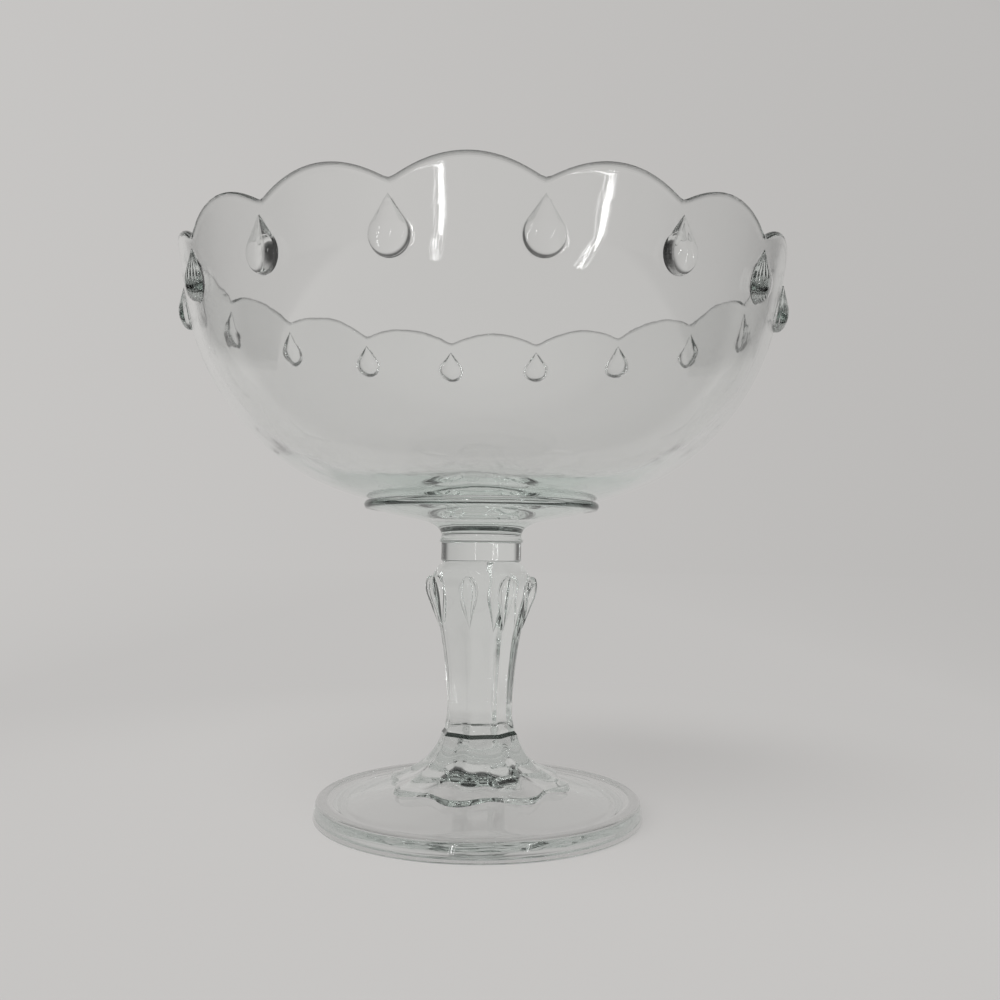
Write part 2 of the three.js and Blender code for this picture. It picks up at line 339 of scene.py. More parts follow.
def clearGlass(look):
    material = bpy.data.materials.new("clearPressedGlass")
    material.use_nodes = True
    tree = material.node_tree
    links = tree.links
    tree.nodes.clear()
    out = addNode(tree, "ShaderNodeOutputMaterial")
    glass = addNode(tree, "ShaderNodeBsdfPrincipled", {"Transmission Weight": 1})
    links.new(glass.outputs[0], out.inputs["Surface"])
    # painted shade: faces marked by the edge attribute take a near-black base colour, standing in for the
    # darkness of fire-polished edges that lead light away down the wall
    edge = addNode(tree, "ShaderNodeAttribute", attribute_name="edge")
    tone = addNode(tree, "ShaderNodeMix", data_type="RGBA")
    clear, dark = [socket for socket in tone.inputs if socket.type == "RGBA"]
    clear.default_value = look["tone"]
    dark.default_value = look["paintedEdgeShade"]
    shade = [socket for socket in tone.outputs if socket.type == "RGBA"][0]
    links.new(edge.outputs["Fac"], tone.inputs[0])
    links.new(shade, glass.inputs["Base Color"])
    # fused joint faces bend no light, so the joined pieces read as one run of glass
    joint = addNode(tree, "ShaderNodeAttribute", attribute_name="fused")
    bend = addNode(tree, "ShaderNodeMath", {1: 1 - look["ior"], 2: look["ior"]}, operation="MULTIPLY_ADD")
    links.new(joint.outputs["Fac"], bend.inputs[0])
    links.new(bend.outputs[0], glass.inputs["IOR"])
    # slow waves of the pressing and a fine skin
    where = addNode(tree, "ShaderNodeTexCoord")
    waves = addNode(tree, "ShaderNodeTexNoise", {"Scale": look["waveScale"], "Detail": look["waveDetail"]})
    skin = addNode(tree, "ShaderNodeTexNoise", {"Scale": look["skinScale"], "Detail": look["skinDetail"]})
    both = addNode(tree, "ShaderNodeMath", {1: look["skinShare"]}, operation="MULTIPLY_ADD")
    bump = addNode(tree, "ShaderNodeBump", {"Strength": 1, "Distance": look["waveHeight"]})
    links.new(where.outputs["Object"], waves.inputs["Vector"])
    links.new(where.outputs["Object"], skin.inputs["Vector"])
    links.new(skin.outputs["Fac"], both.inputs[0])
    links.new(waves.outputs["Fac"], both.inputs[2])
    links.new(both.outputs[0], bump.inputs["Height"])
    links.new(bump.outputs[0], glass.inputs["Normal"])
    # scuffs on the ring that the foot stands on
    split = addNode(tree, "ShaderNodeSeparateXYZ")
    low = addNode(tree, "ShaderNodeMapRange", {"From Min": look["wearHeight"], "From Max": 0})
    scuff = addNode(tree, "ShaderNodeTexNoise", {"Scale": look["wearScale"]})
    patch = addNode(tree, "ShaderNodeMath", operation="MULTIPLY")
    rough = addNode(
        tree, "ShaderNodeMath", {1: look["wearRough"], 2: look["polish"]}, operation="MULTIPLY_ADD")
    links.new(where.outputs["Object"], split.inputs[0])
    links.new(split.outputs["Z"], low.inputs["Value"])
    links.new(where.outputs["Object"], scuff.inputs["Vector"])
    links.new(low.outputs[0], patch.inputs[0])
    links.new(scuff.outputs["Fac"], patch.inputs[1])
    links.new(patch.outputs[0], rough.inputs[0])
    links.new(rough.outputs[0], glass.inputs["Roughness"])
    # a faint green where light runs through much glass
    depth = addNode(
        tree, "ShaderNodeVolumeAbsorption", {"Color": look["depthColour"], "Density": look["depthDensity"]})
    links.new(depth.outputs[0], out.inputs["Volume"])
    return material


pressedGlass = clearGlass(glassLook)
ringTree = turnedPattern()
print("glass and ring tree made")


# bowl

bowlSizes = {
    "jointZ": 118.5, "landRadius": 24, "dishRadius": 198, "dishEdge": 50,
    "wallArc": 87.5, "flareAngle": 9.6, "notchZ": 208.3,
    "floorZ": 124.6, "floorRadius": 270, "insideArc": 79.8, "rimWall": 3.4,
    "lobes": 16, "lobeRise": 6.5, "notchRound": 0.05,
    # rimShade is the strength of the painted shade along the rim
    "fusedRadius": 37, "rimShade": 0.86,
    "underEase": 35, "underHolds": (7, 18), "floorEase": 42, "floorHolds": (24, 44),
    "patchLow": 183.6, "patchHigh": 204.4, "columns": 28,
    "rows": {
        "land": 3, "fusedDish": 6, "freeDish": 14, "wall": 22, "patch": 20,
        "flare": 4, "rim": 12, "rimInside": 8, "inside": 26, "floor": 22,
    },
}
bowlDrop = {
    "ball": 6.3, "halfWidth": 6.3, "length": 17.4, "depth": 3.5, "stand": 0.45, "rootShare": 0.6,
    "middleZ": 192.0, "tipWay": 1, "across": 16,
    "apron": (0.72, 0.48, 0.28, 0.14), "foot": ((0.5, 0), (0.22, 0.12), (0.08, 0.5), (0, 1)),
}


def dishCentre(bowl):  # the dish under the bowl is part of a large ball
    return 0, bowl["jointZ"] + math.sqrt(bowl["dishRadius"] ** 2 - bowl["landRadius"] ** 2)


def ballAngle(ball, radius):
    return math.degrees(math.asin(radius / ball))


def makeBowl(s, drop):
    rows = s["rows"]
    pitch = math.tau / s["lobes"]
    angles = evenAngles(pitch, s["columns"])
    tilt = math.radians(s["flareAngle"])
    flare = math.tan(tilt)
    upright = 90 - s["flareAngle"]

    dish, centre = s["dishRadius"], dishCentre(s)
    fusedAngle = ballAngle(dish, s["fusedRadius"])
    fusedDish = arcPoints(centre, dish, ballAngle(dish, s["landRadius"]), fusedAngle, rows["fusedDish"])
    wallCentre = arcPoint(centre, dish - s["wallArc"], ballAngle(dish, s["dishEdge"]))
    patchAngle = math.degrees(math.acos((wallCentre[1] - s["patchLow"]) / s["wallArc"]))
    wall = arcPoints(wallCentre, s["wallArc"], s["underEase"], patchAngle, rows["wall"])
    wallTop = arcPoint(wallCentre, s["wallArc"], upright)
    # the dish runs over into the wall without a jump in its curve
    leaveHold, reachHold = s["underHolds"]
    freeDish = sweepPoints(
        fusedDish[-1], 90 + fusedAngle, leaveHold,
        wall[0], 90 + s["underEase"], reachHold, rows["freeDish"])

    def flareRadius(z):
        return wallTop[0] + (z - wallTop[1]) * flare

    def wallRadius(z):
        if z >= wallTop[1]:
            return flareRadius(z)
        return wallCentre[0] + math.sqrt(s["wallArc"] ** 2 - (wallCentre[1] - z) ** 2)

    half = s["rimWall"] / 2
    rimZ = s["notchZ"] - half
    rim = arcPoints((flareRadius(rimZ) - half, rimZ), half, upright, 270 - s["flareAngle"], rows["rim"])
    # the inside arc touches both the floor and the rim wall
    floorCentre = s["floorZ"] + s["floorRadius"]
    reach = s["floorRadius"] - s["insideArc"]
    start = flareRadius(floorCentre) - s["rimWall"] - s["insideArc"] / math.cos(tilt)
    down = -start * math.sin(tilt) - math.sqrt(reach ** 2 - (start * math.cos(tilt)) ** 2)
    insideCentre = (start + down * math.sin(tilt), floorCentre + down * math.cos(tilt))
    inside = arcPoints(insideCentre, s["insideArc"], upright, s["floorEase"], rows["inside"])
    leaveHold, reachHold = s["floorHolds"]
    floor = sweepPoints(
        inside[-1], s["floorEase"] - 90, leaveHold,
        (0, s["floorZ"]), -90, reachHold, rows["floor"])

    def lift(angle):  # parabola between notches that are a little rounded
        share = abs(angle) / (pitch / 2)
        soft = math.sqrt(share * share + s["notchRound"] ** 2) - s["notchRound"]
        crest = math.sqrt(1 + s["notchRound"] ** 2) - s["notchRound"]
        return s["lobeRise"] * (1 - (1 - soft / crest) ** 2)

    def lifted(point, share=1.0):  # follows the lobes, or a share of them
        return lambda angle: (point[0] + lift(angle) * flare * share, point[1] + lift(angle) * share)

    sector = newSector()
    land = linePoints((0, s["jointZ"]), (s["landRadius"], s["jointZ"]), rows["land"])
    last = addPole(sector, s["jointZ"])
    last = stackRings(sector, angles, last, roundSpots(land[1:] + fusedDish[1:]), fused=1.0)
    last = stackRings(sector, angles, last, roundSpots(freeDish[1:] + wall[1:]))

    high = s["patchHigh"]
    top = addRing(sector, angles, roundSpot((flareRadius(high), high)))
    levels = evenSteps(s["patchLow"], high, rows["patch"])
    wide = flareRadius(drop["middleZ"])

    def place(angle, z, height):
        return addPoint(sector, wallRadius(z) + height * math.cos(tilt), angle, z - height * math.sin(tilt))

    def rise(angle, z, bulge):  # drops stand on the line of the flare, which the wall leaves lower down
        root = (flareRadius(z) - wallRadius(z)) / math.cos(tilt)
        return drop["stand"] + bulge + root * (1 if bulge else drop["rootShare"])

    addDropPatch(sector, angles, last, top, levels, wide, place, rise, drop)

    last = top
    for i in range(1, rows["flare"]):
        share = i / rows["flare"]
        z = high + (rim[0][1] - high) * share
        last = stackRings(sector, angles, last, [lifted((flareRadius(z), z), share)])
    # painted shade: the rim round's faces take a share of the dark edge tone, most at the middle of the
    # round, drawing a dark line along the rim
    for i, point in enumerate(rim):
        middle = (i - 0.5) / rows["rim"]
        shade = s["rimShade"] * math.sin(math.pi * middle) if i else 0.0
        last = stackRings(sector, angles, last, [lifted(point)], edge=shade)
    for i, point in enumerate(linePoints(rim[-1], inside[0], rows["rimInside"])[1:], 1):
        last = stackRings(sector, angles, last, [lifted(point, 1 - i / rows["rimInside"])])
    stackRings(sector, angles, last, roundSpots(inside[1:] + floor[1:]))
    return sector


turnPiece(
    "bowlGlass", "bowl", makeBowl(bowlSizes, bowlDrop),
    bowlSizes["lobes"], 0, pressedGlass, ringTree)


# saucer

saucerSizes = {
    "radius": 46.5, "edgeThickness": 3.4, "edgeZ": 120.1, "edgeWrap": 176, "filmGap": 0.02,
    "undersideRadius": 23.5, "undersideZ": 114.2, "undersideHold": 4,
    "neckRadius": 15.8, "neckZ": 108.2, "neckHold": 3,
    "jointZ": 105.6, "beadRadius": 16.6, "beadHeight": 1.6, "beadWrap": 150,
    "sectors": 32, "columns": 6,
    "rows": {"joint": 2, "bead": 10, "neck": 16, "underside": 5, "edge": 20, "seat": 6, "land": 3},
}


def makeSaucer(s, bowl):
    rows = s["rows"]
    angles = evenAngles(math.tau / s["sectors"], s["columns"])
    half = s["edgeThickness"] / 2
    edgeRadius = s["radius"] - half
    lowZ = s["jointZ"] + s["filmGap"]
    landZ = bowl["jointZ"] - s["filmGap"]
    slope = math.degrees(math.atan2(s["edgeZ"] - half - s["undersideZ"], edgeRadius - s["undersideRadius"]))

    bead = s["beadHeight"] / 2
    skin = arcPoints((s["beadRadius"] - bead, lowZ + bead), bead, 0, s["beadWrap"], rows["bead"])
    skin += sweepPoints(
        (s["neckRadius"], s["neckZ"]), 180, s["neckHold"],
        (s["undersideRadius"], s["undersideZ"]), 90 + slope, s["undersideHold"], rows["neck"])
    edge = arcPoints((edgeRadius, s["edgeZ"]), half, slope, s["edgeWrap"], rows["edge"])
    skin += linePoints(skin[-1], edge[0], rows["underside"])[1:-1] + edge
    ball = bowl["dishRadius"] + s["filmGap"]
    seat = arcPoints(
        dishCentre(bowl), ball,
        ballAngle(ball, bowl["fusedRadius"]), ballAngle(ball, bowl["landRadius"]), rows["seat"])
    seat += linePoints((bowl["landRadius"], landZ), (0, landZ), rows["land"])
    joint = linePoints((0, lowZ), skin[0], rows["joint"])

    sector = newSector()
    last = addPole(sector, lowZ)
    last = stackRings(sector, angles, last, roundSpots(joint[1:]), fused=1.0)
    last = stackRings(sector, angles, last, roundSpots(skin[1:] + seat[:1]))
    stackRings(sector, angles, last, roundSpots(seat[1:]), fused=1.0)
    return sector


turnPiece(
    "saucerGlass", "saucer", makeSaucer(saucerSizes, bowlSizes),
    saucerSizes["sectors"], 0, pressedGlass, ringTree)


# stem

stemSizes = {
    "panels": 8, "footJointZ": 32.5, "neckJointZ": 105.6, "filmGap": 0.02,
    "collarRadius": 15.9, "collarHeight": 7.6, "collarRound": 0.5, "collarRoundZ": 0.9,
    "collarRoundStart": 30, "collarFaceZ": 1.2,
    "collarGroove": 0.7, "grooveSide": 0.25, "grooveLip": 0.2,
    "shoulderRadius": 16.2, "shoulderHold": 4, "shoulderSlope": 45, "shoulderRoundness": 0.9,
    "knopRadius": 20.2, "knopZ": 89, "knopHold": 4, "knopRoundness": 0.2,
    "shaftTopRadius": 15.8, "shaftTopZ": 68, "shaftTopTaper": 10, "shaftTopHold": 6,
    "waistRadius": 13.1, "waistZ": 39, "waistHold": 11, "endRadius": 14, "endHold": 2.5,
    "ridgeRound": 3.6, "patchLow": 70.6, "patchHigh": 94.2, "columns": 28, "crowd": 1.5,
    "lineSteps": {"end": 40, "body": 60},
    "rows": {"end": 13, "shaft": 30, "patch": 20, "shoulder": 6, "collarRound": 5, "collar": 6},
}
knopDrop = {
    "ball": 6, "halfWidth": 3.6, "length": 20, "depth": 2.8, "lean": 11, "sink": 0.5, "leastRise": 0.15,
    "middleZ": 86.4, "tipWay": -1, "across": 14,
    "apron": (0.7, 0.45, 0.25, 0.12), "foot": ((0.4, 0), (0.18, 0.12), (0.07, 0.5), (0, 1)),
}


def panelRadius(ridge, angle, pitch, roundness, soften):  # flat panels, a softened ridge at angle 0
    soft = math.radians(soften)
    off = math.sqrt(angle * angle + soft * soft) - soft
    full = math.sqrt(pitch * pitch / 4 + soft * soft) - soft
    flat = ridge * math.cos(pitch / 2) / math.cos(pitch / 2 * (1 - off / full))
    return flat + (ridge - flat) * roundness


def stemLine(s, grooveZ):  # the ridge from the foot joint up to the groove
    steps = s["lineSteps"]
    end, waist = (s["endRadius"], s["footJointZ"]), (s["waistRadius"], s["waistZ"])
    shaftTop, knop = (s["shaftTopRadius"], s["shaftTopZ"]), (s["knopRadius"], s["knopZ"])
    shoulder = (s["shoulderRadius"], grooveZ)
    taper, slope = 180 - s["shaftTopTaper"], 180 + s["shoulderSlope"]
    line = sweepPoints(end, 180, s["endHold"], waist, 180, s["endHold"], steps["end"])
    line += sweepPoints(waist, 180, s["waistHold"], shaftTop, taper, s["shaftTopHold"], steps["body"])[1:]
    line += sweepPoints(shaftTop, taper, s["shaftTopHold"], knop, 180, s["knopHold"], steps["body"])[1:]
    line += sweepPoints(knop, 180, s["knopHold"], shoulder, slope, s["shoulderHold"], steps["body"])[1:]
    return line


def makeStem(s, drop):
    rows = s["rows"]
    pitch = math.tau / s["panels"]
    angles = ridgeAngles(pitch, s["columns"], s["crowd"])
    collarLow = s["neckJointZ"] - s["collarHeight"]
    grooveZ = collarLow - s["collarGroove"]
    line = stemLine(s, grooveZ)
    roundLine = [  # share of roundness in the panels, by height
        (0, s["footJointZ"]), (0, s["shaftTopZ"]),
        (s["knopRoundness"], s["knopZ"]), (s["shoulderRoundness"], grooveZ),
    ]

    def bodyRadius(angle, z):
        return panelRadius(radiusAt(line, z), angle, pitch, radiusAt(roundLine, z), s["ridgeRound"])

    def bodySpot(z):
        return lambda angle: (bodyRadius(angle, z), z)

    sector = newSector()
    last = addPole(sector, s["footJointZ"])
    last = stackRings(sector, angles, last, [bodySpot(s["footJointZ"])], fused=1.0)
    shaft = evenSteps(s["footJointZ"], s["waistZ"], rows["end"])[1:]
    shaft += evenSteps(s["waistZ"], s["patchLow"], rows["shaft"])[1:]
    last = stackRings(sector, angles, last, [bodySpot(z) for z in shaft])

    top = addRing(sector, angles, bodySpot(s["patchHigh"]))
    levels = evenSteps(s["patchLow"], s["patchHigh"], rows["patch"])
    wide = s["knopRadius"] - drop["sink"]
    lean = math.tan(math.radians(drop["lean"]))

    def place(angle, z, height):
        return addPoint(sector, bodyRadius(angle, z) + height, angle, z)

    def rise(angle, z, bulge):
        axis = wide + (z - drop["middleZ"]) * lean
        return max(axis + bulge - bodyRadius(angle, z), drop["leastRise"])

    addDropPatch(sector, angles, last, top, levels, wide, place, rise, drop)

    shoulder = evenSteps(s["patchHigh"], grooveZ, rows["shoulder"])[1:]
    last = stackRings(sector, angles, top, [bodySpot(z) for z in shoulder])
    groove = s["collarRadius"] - s["collarGroove"]
    collar = [
        (groove + s["grooveSide"], collarLow - s["grooveSide"]), (groove, collarLow),
        (groove + s["grooveLip"], collarLow + s["grooveSide"]),
    ]
    collar += arcPoints(
        (s["collarRadius"] - s["collarRound"], collarLow + s["collarRoundZ"]), s["collarRound"],
        s["collarRoundStart"], 90, rows["collarRound"])
    collar += linePoints(
        (s["collarRadius"], collarLow + s["collarFaceZ"]),
        (s["collarRadius"], s["neckJointZ"]), rows["collar"])
    last = stackRings(sector, angles, last, roundSpots(collar))
    joinRings(sector, last, addPole(sector, s["neckJointZ"]), fused=1.0)
    return sector


halfPanel = math.pi / stemSizes["panels"]
turnPiece(
    "stemGlass", "stem", makeStem(stemSizes, knopDrop),
    stemSizes["panels"], halfPanel, pressedGlass, ringTree)


# foot

footSizes = {
    "skirtTopRadius": 15, "skirtTopTaper": 8, "skirtHold": 9.6, "toeHold": 10.8, "toeSlope": 14,
    "petalPoint": 35.4, "petalHollow": 4.4, "petalEdge": 2.3, "petalSlant": 0.6,
    "petalRound": 0.7, "petalWrap": 78,
    "domeTopRadius": 30, "domeTopZ": 12.6, "domeEdgeRadius": 56.2, "domeEdgeZ": 6.4,
    "radius": 63.6, "draft": 9.5, "rimWidth": 5.2, "rimZ": 7.5, "rimRound": 1.7, "rimInnerWrap": 40,
    "heelRound": 1, "restInner": 56.6, "lipWidth": 3, "lipZ": 1.6, "lipSag": 0.42,
    "hollowRadius": 31, "hollowZ": 7.4, "crownRise": 7, "crownHold": 15, "edgeHold": 9,
    # ledgeShade and rimShade are shares of painted shade
    "ledgeDrop": 1.2, "ledgeShade": 1.0, "rimShade": 0.2, "ridgeRound": 3.0,
    "columns": 36, "crowd": 1.25,
    "domeShares": (0.25, 0.5, 0.75, 0.93, 0.99, 1.0), "petalFaceShares": (0.15, 0.5),
    "rows": {"crown": 24, "hollow": 6, "heel": 8, "rimOuter": 12, "rimInner": 6, "petalTurn": 6, "skirt": 40},
}


def footUnderside(s):  # from below the crown out to the ring that it stands on
    rows = s["rows"]
    lipInner = s["restInner"] - s["lipWidth"]
    slope = math.degrees(math.atan2(s["hollowZ"] - s["lipZ"], lipInner - s["hollowRadius"]))
    under = sweepPoints(
        (0, s["hollowZ"] + s["crownRise"]), 90, s["crownHold"],
        (s["hollowRadius"], s["hollowZ"]), 90 - slope, s["edgeHold"], rows["crown"])
    under += linePoints(under[-1], (lipInner, s["lipZ"]), rows["hollow"])[1:]
    return under + [(s["restInner"] - s["lipWidth"] / 2, s["lipZ"] * s["lipSag"]), (s["restInner"], 0)]


def footRim(s):  # heel, drafted face and rounded top
    rows = s["rows"]
    faceAngle = 90 + s["draft"]
    faceOut, faceUp = heading(faceAngle)
    heel = (s["radius"] - s["heelRound"], s["heelRound"])
    rimLow = s["rimZ"] - s["rimRound"]
    roundStep = s["heelRound"] - s["rimRound"]
    faceRise = rimLow - s["heelRound"] - roundStep * faceUp
    rimOut = heel[0] + roundStep * faceOut - faceRise * math.tan(math.radians(s["draft"]))
    rimIn = rimOut - s["rimWidth"] + 2 * s["rimRound"]
    rim = arcPoints(heel, s["heelRound"], 0, faceAngle, rows["heel"])
    rim += arcPoints((rimOut, rimLow), s["rimRound"], faceAngle, 180, rows["rimOuter"])
    return rim + arcPoints((rimIn, rimLow), s["rimRound"], 180, 180 + s["rimInnerWrap"], rows["rimInner"])


def makeFoot(s, stem):
    rows = s["rows"]
    pitch = math.tau / stem["panels"]
    angles = ridgeAngles(pitch, s["columns"], s["crowd"])
    jointZ = stem["footJointZ"] - stem["filmGap"]
    turn = s["petalRound"]

    def domeHeight(radius):
        share = (radius - s["domeTopRadius"]) / (s["domeEdgeRadius"] - s["domeTopRadius"])
        return s["domeTopZ"] + (s["domeEdgeZ"] - s["domeTopZ"]) * share

    topZ = domeHeight(s["petalPoint"]) + s["petalEdge"]
    skirt = sweepPoints(
        (s["petalPoint"], topZ), 270 - s["toeSlope"], s["toeHold"],
        (s["skirtTopRadius"], jointZ), 180 + s["skirtTopTaper"], s["skirtHold"], rows["skirt"])

    def petalRadius(ridge, angle, petal):  # panels at the top, rounded scallops at the toe
        scallop = (1 - math.cos(stem["panels"] * angle)) / 2
        panel = panelRadius(ridge, angle, pitch, petal, s["ridgeRound"])
        return panel - s["petalHollow"] * petal * scallop

    def petalEdgeRadius(angle):
        return petalRadius(s["petalPoint"] + s["petalSlant"], angle, 1)

    def domeSpot(share):  # dome up to the petal edge
        def spot(angle):
            radius = s["domeEdgeRadius"] + (petalEdgeRadius(angle) - s["domeEdgeRadius"]) * share
            return radius, domeHeight(radius)
        return spot

    def faceSpot(share):  # up the face of the petal edge
        def spot(angle):
            radius = petalEdgeRadius(angle)
            low = domeHeight(radius)
            return radius - s["petalSlant"] * share, low + (topZ - turn - low) * share
        return spot

    def turnSpot(wrap):  # round the petal edge onto the skirt
        out, up = heading(wrap)
        height = topZ - turn + turn * up
        return lambda angle: (petalRadius(s["petalPoint"], angle, 1) - turn + turn * out, height)

    def skirtSpot(point, petal):
        return lambda angle: (petalRadius(point[0], angle, petal), point[1])

    def ledgeSpot(angle):  # the narrow ledge under the stem
        return panelRadius(stem["endRadius"], angle, pitch, 0, stem["ridgeRound"]), jointZ

    sector = newSector()
    crown, *under = footUnderside(s)
    last = addPole(sector, crown[1])
    last = stackRings(sector, angles, last, roundSpots(under))
    # painted shade: the heel and rim faces take a share of the dark edge tone, darkening the foot's rim band
    last = stackRings(sector, angles, last, roundSpots(footRim(s)), edge=s["rimShade"])
    spots = [roundSpot((s["domeEdgeRadius"], s["domeEdgeZ"]))]
    spots += [domeSpot(share) for share in s["domeShares"]]
    spots += [faceSpot(share) for share in s["petalFaceShares"]]
    spots += [turnSpot(wrap) for wrap in evenSteps(90, 90 + s["petalWrap"], rows["petalTurn"])]
    for i, point in enumerate(skirt):
        clearOfEdge = point[0] <= s["petalPoint"] - 2 * turn
        belowLedge = point[1] <= jointZ - s["ledgeDrop"]
        if clearOfEdge and belowLedge:
            spots.append(skirtSpot(point, 1 - i / rows["skirt"]))
    last = stackRings(sector, angles, last, spots)
    # painted shade: the ledge faces take the full dark edge tone, a dark bar under the stem
    last = stackRings(sector, angles, last, [ledgeSpot], edge=s["ledgeShade"])
    joinRings(sector, last, addPole(sector, jointZ), fused=1.0)
    return sector


turnPiece(
    "footGlass", "foot", makeFoot(footSizes, stemSizes),
    stemSizes["panels"], halfPanel, pressedGlass, ringTree)


# camera

cameraView = {
    "place": (-0.05634, -0.37295, 0.1002),
    "turn": (93.418, -0.607, -9.728),
    "lens": 34.098,
    "sensor": 36,
    "nearest": 0.01,
}

camera = addObject("camera", bpy.data.cameras.new("camera"))
camera.location = cameraView["place"]
camera.rotation_euler = [math.radians(a) for a in cameraView["turn"]]
camera.data.lens = cameraView["lens"]
camera.data.sensor_width = cameraView["sensor"]
camera.data.clip_start = cameraView["nearest"]
bpy.context.scene.camera = camera


# room: pale in front of the compote and behind it, dim at its two sides

roomLook = {
    "front": (-0.149, -0.989, 0),
    "left": (-0.989, 0.149, 0),
    "stops": (  # tone from straight behind, 0, to straight in front, 1
        (0.0, 1.0), (0.11, 1.0), (0.20, 0.2), (0.31, 0.05),
        (0.62, 0.05), (0.80, 0.60), (0.93, 1.0), (1.0, 1.0),
    ),
    "pale": (0.535, 0.525, 0.515),
    "leftGain": 0.14,
    "floorColour": (0.60, 0.59, 0.58, 1),
    "floorGlowShare": 0.8,
    "floorFade": (0.16, 0.40),
    "floorRadius": 6.0,
    "floorSides": 64,
    "floorLane": 0.35,
}


def roomTone(look):  # tone of the room in a direction
    tree = bpy.data.node_groups.new("roomTone", "ShaderNodeTree")
    links, sockets = tree.links, tree.interface
    sockets.new_socket("Direction", in_out="INPUT", socket_type="NodeSocketVector")
    sockets.new_socket("Tone", in_out="OUTPUT", socket_type="NodeSocketColor")
    sockets.new_socket("Pale", in_out="OUTPUT", socket_type="NodeSocketColor")
    into = addNode(tree, "NodeGroupInput")
    out = addNode(tree, "NodeGroupOutput")
    unit = addNode(tree, "ShaderNodeVectorMath", operation="NORMALIZE")
    front = addNode(tree, "ShaderNodeVectorMath", {1: look["front"]}, operation="DOT_PRODUCT")
    span = addNode(tree, "ShaderNodeMapRange", {"From Min": -1})
    tones = addNode(tree, "ShaderNodeValToRGB")
    tones.color_ramp.interpolation = "EASE"
    stops = tones.color_ramp.elements
    for at, tone in look["stops"][1:-1]:
        stops.new(at)
    for stop, (at, tone) in zip(stops, look["stops"]):
        stop.color = (tone, tone, tone, 1)
    left = addNode(tree, "ShaderNodeVectorMath", {1: look["left"]}, operation="DOT_PRODUCT")
    gain = addNode(tree, "ShaderNodeMath", {1: look["leftGain"], 2: 1}, operation="MULTIPLY_ADD")
    pale = addNode(tree, "ShaderNodeVectorMath", {0: look["pale"]}, operation="SCALE")
    shade = addNode(tree, "ShaderNodeVectorMath", operation="MULTIPLY")
    links.new(into.outputs[0], unit.inputs[0])
    links.new(unit.outputs[0], front.inputs[0])
    links.new(unit.outputs[0], left.inputs[0])
    links.new(front.outputs["Value"], span.inputs["Value"])
    links.new(span.outputs[0], tones.inputs[0])
    links.new(left.outputs["Value"], gain.inputs[0])
    links.new(gain.outputs[0], pale.inputs["Scale"])
    links.new(pale.outputs[0], shade.inputs[0])
    links.new(tones.outputs[0], shade.inputs[1])
    links.new(shade.outputs[0], out.inputs["Tone"])
    links.new(pale.outputs[0], out.inputs["Pale"])
    return tree


def makeBackdrop(tone):
    world = bpy.data.worlds.new("room")
    world.use_nodes = True
    tree = world.node_tree
    links = tree.links
    tree.nodes.clear()
    where = addNode(tree, "ShaderNodeTexCoord")
    group = addNode(tree, "ShaderNodeGroup", node_tree=tone)
    light = addNode(tree, "ShaderNodeBackground")
    out = addNode(tree, "ShaderNodeOutputWorld")
    links.new(where.outputs["Generated"], group.inputs[0])
    links.new(group.outputs["Tone"], light.inputs["Color"])
    links.new(light.outputs[0], out.inputs[0])
    bpy.context.scene.world = world


